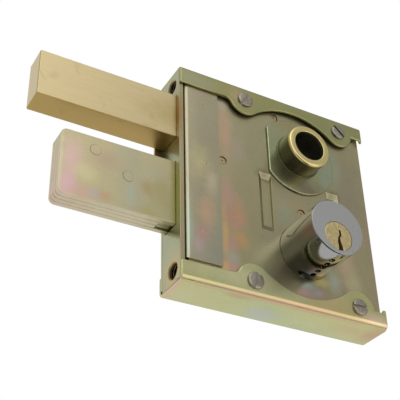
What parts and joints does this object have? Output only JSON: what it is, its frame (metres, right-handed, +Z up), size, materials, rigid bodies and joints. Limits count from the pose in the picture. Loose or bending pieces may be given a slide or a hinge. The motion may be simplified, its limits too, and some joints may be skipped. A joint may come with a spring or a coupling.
{
  "type": "gate lock",
  "caption": "Surface case lock for a metal gate, with a spring latch bar, a laminated dead bolt thrown by a round key cylinder, and a spindle tube for a handle.",
  "frame": {"origin": "midway between the two threaded fixing holes, on the outer face of the fore-end", "axes": "+X into the case and away from the bolts, -Y towards the key side, +Z up along the fore-end"},
  "size_m": [0.1878, 0.047, 0.125],
  "materials": {
    "zinc_fore_end": "yellow zinc passivate, satin",
    "zinc_case": "yellow zinc passivate, satin",
    "zinc_strip": "yellow zinc passivate, satin",
    "zinc_channel": "yellow zinc passivate, satin",
    "zinc_collar": "yellow zinc passivate, satin",
    "zinc_tube": "yellow zinc passivate, bright",
    "zinc_pin": "yellow zinc passivate, turned",
    "zinc_bolt": "yellow zinc passivate, ground",
    "zinc_rivet": "yellow zinc passivate, ground",
    "bar_brass": "drawn brass, fine lengthwise grain",
    "plug_brass": "turned brass",
    "chrome_shell": "chrome plated, brushed face and polished side",
    "screw_steel": "turned steel",
    "bright_steel": "machined steel",
    "hard_steel": "hardened steel",
    "spring_steel": "spring wire"
  },
  "bodies": {
    "case": {"fore_end_plate": "zinc_fore_end", "fixing_blocks": "zinc_fore_end", "rear_case": "zinc_case", "front_plate": "zinc_case", "guide_angle": "zinc_strip", "strip_rivets": "zinc_strip", "top_channel": "zinc_channel", "bottom_channel": "zinc_channel", "screw_pillars": "bright_steel", "cover_screws": "screw_steel", "upper_post": "zinc_pin", "middle_post": "zinc_pin", "tail_post": "zinc_pin", "cylinder_fork": "zinc_case", "tube_flange": "zinc_collar", "spindle_tube": "zinc_tube", "cylinder_shell": "chrome_shell", "drill_pin": "hard_steel", "driver_pins": "plug_brass", "pin_springs": "spring_steel", "spring_rod": "bright_steel", "latch_spring": "spring_steel"},
    "dead_bolt": {"bolt_plate_front": "zinc_bolt", "bolt_plate_mid_front": "zinc_bolt", "bolt_plate_mid_rear": "zinc_bolt", "bolt_plate_rear": "zinc_bolt", "bolt_rivets": "zinc_rivet"},
    "key_plug": {"cylinder_plug": "plug_brass", "key_pins": "plug_brass", "plug_clip": "spring_steel", "drive_pinion": "bright_steel"},
    "latch": {"brass_bolt": "bar_brass", "latch_yoke": "zinc_case", "yoke_screws": "screw_steel"},
    "spindle": {"spindle_hub": "bright_steel"}
  },
  "joints": [
    {"name": "bolt_throw", "type": "slide", "parent": "case", "child": "dead_bolt", "axis": [-1, 0, 0], "range_m": [0, 0.03141]},
    {"name": "key_turn", "type": "hinge", "parent": "case", "child": "key_plug", "pos_m": [0.0705, -0.009, -0.034], "axis": [0, -1, 0], "range_deg": [0, 360]},
    {"name": "latch_draw", "type": "slide", "parent": "case", "child": "latch", "axis": [1, 0, 0], "range_m": [0, 0.014], "stiffness_N_per_m": 500, "springref_m": -0.01, "deforming": ["latch_spring"]},
    {"name": "spindle_turn", "type": "hinge", "parent": "case", "child": "spindle", "pos_m": [0.0705, -0.009, 0.0287], "axis": [0, -1, 0], "range_deg": [0, 60]}
  ],
  "couplings": [
    {"joint": "key_turn", "follows": "bolt_throw", "rad_per_m": 200},
    {"joint": "spindle_turn", "follows": "latch_draw", "rad_per_m": 74.8}
  ]
}
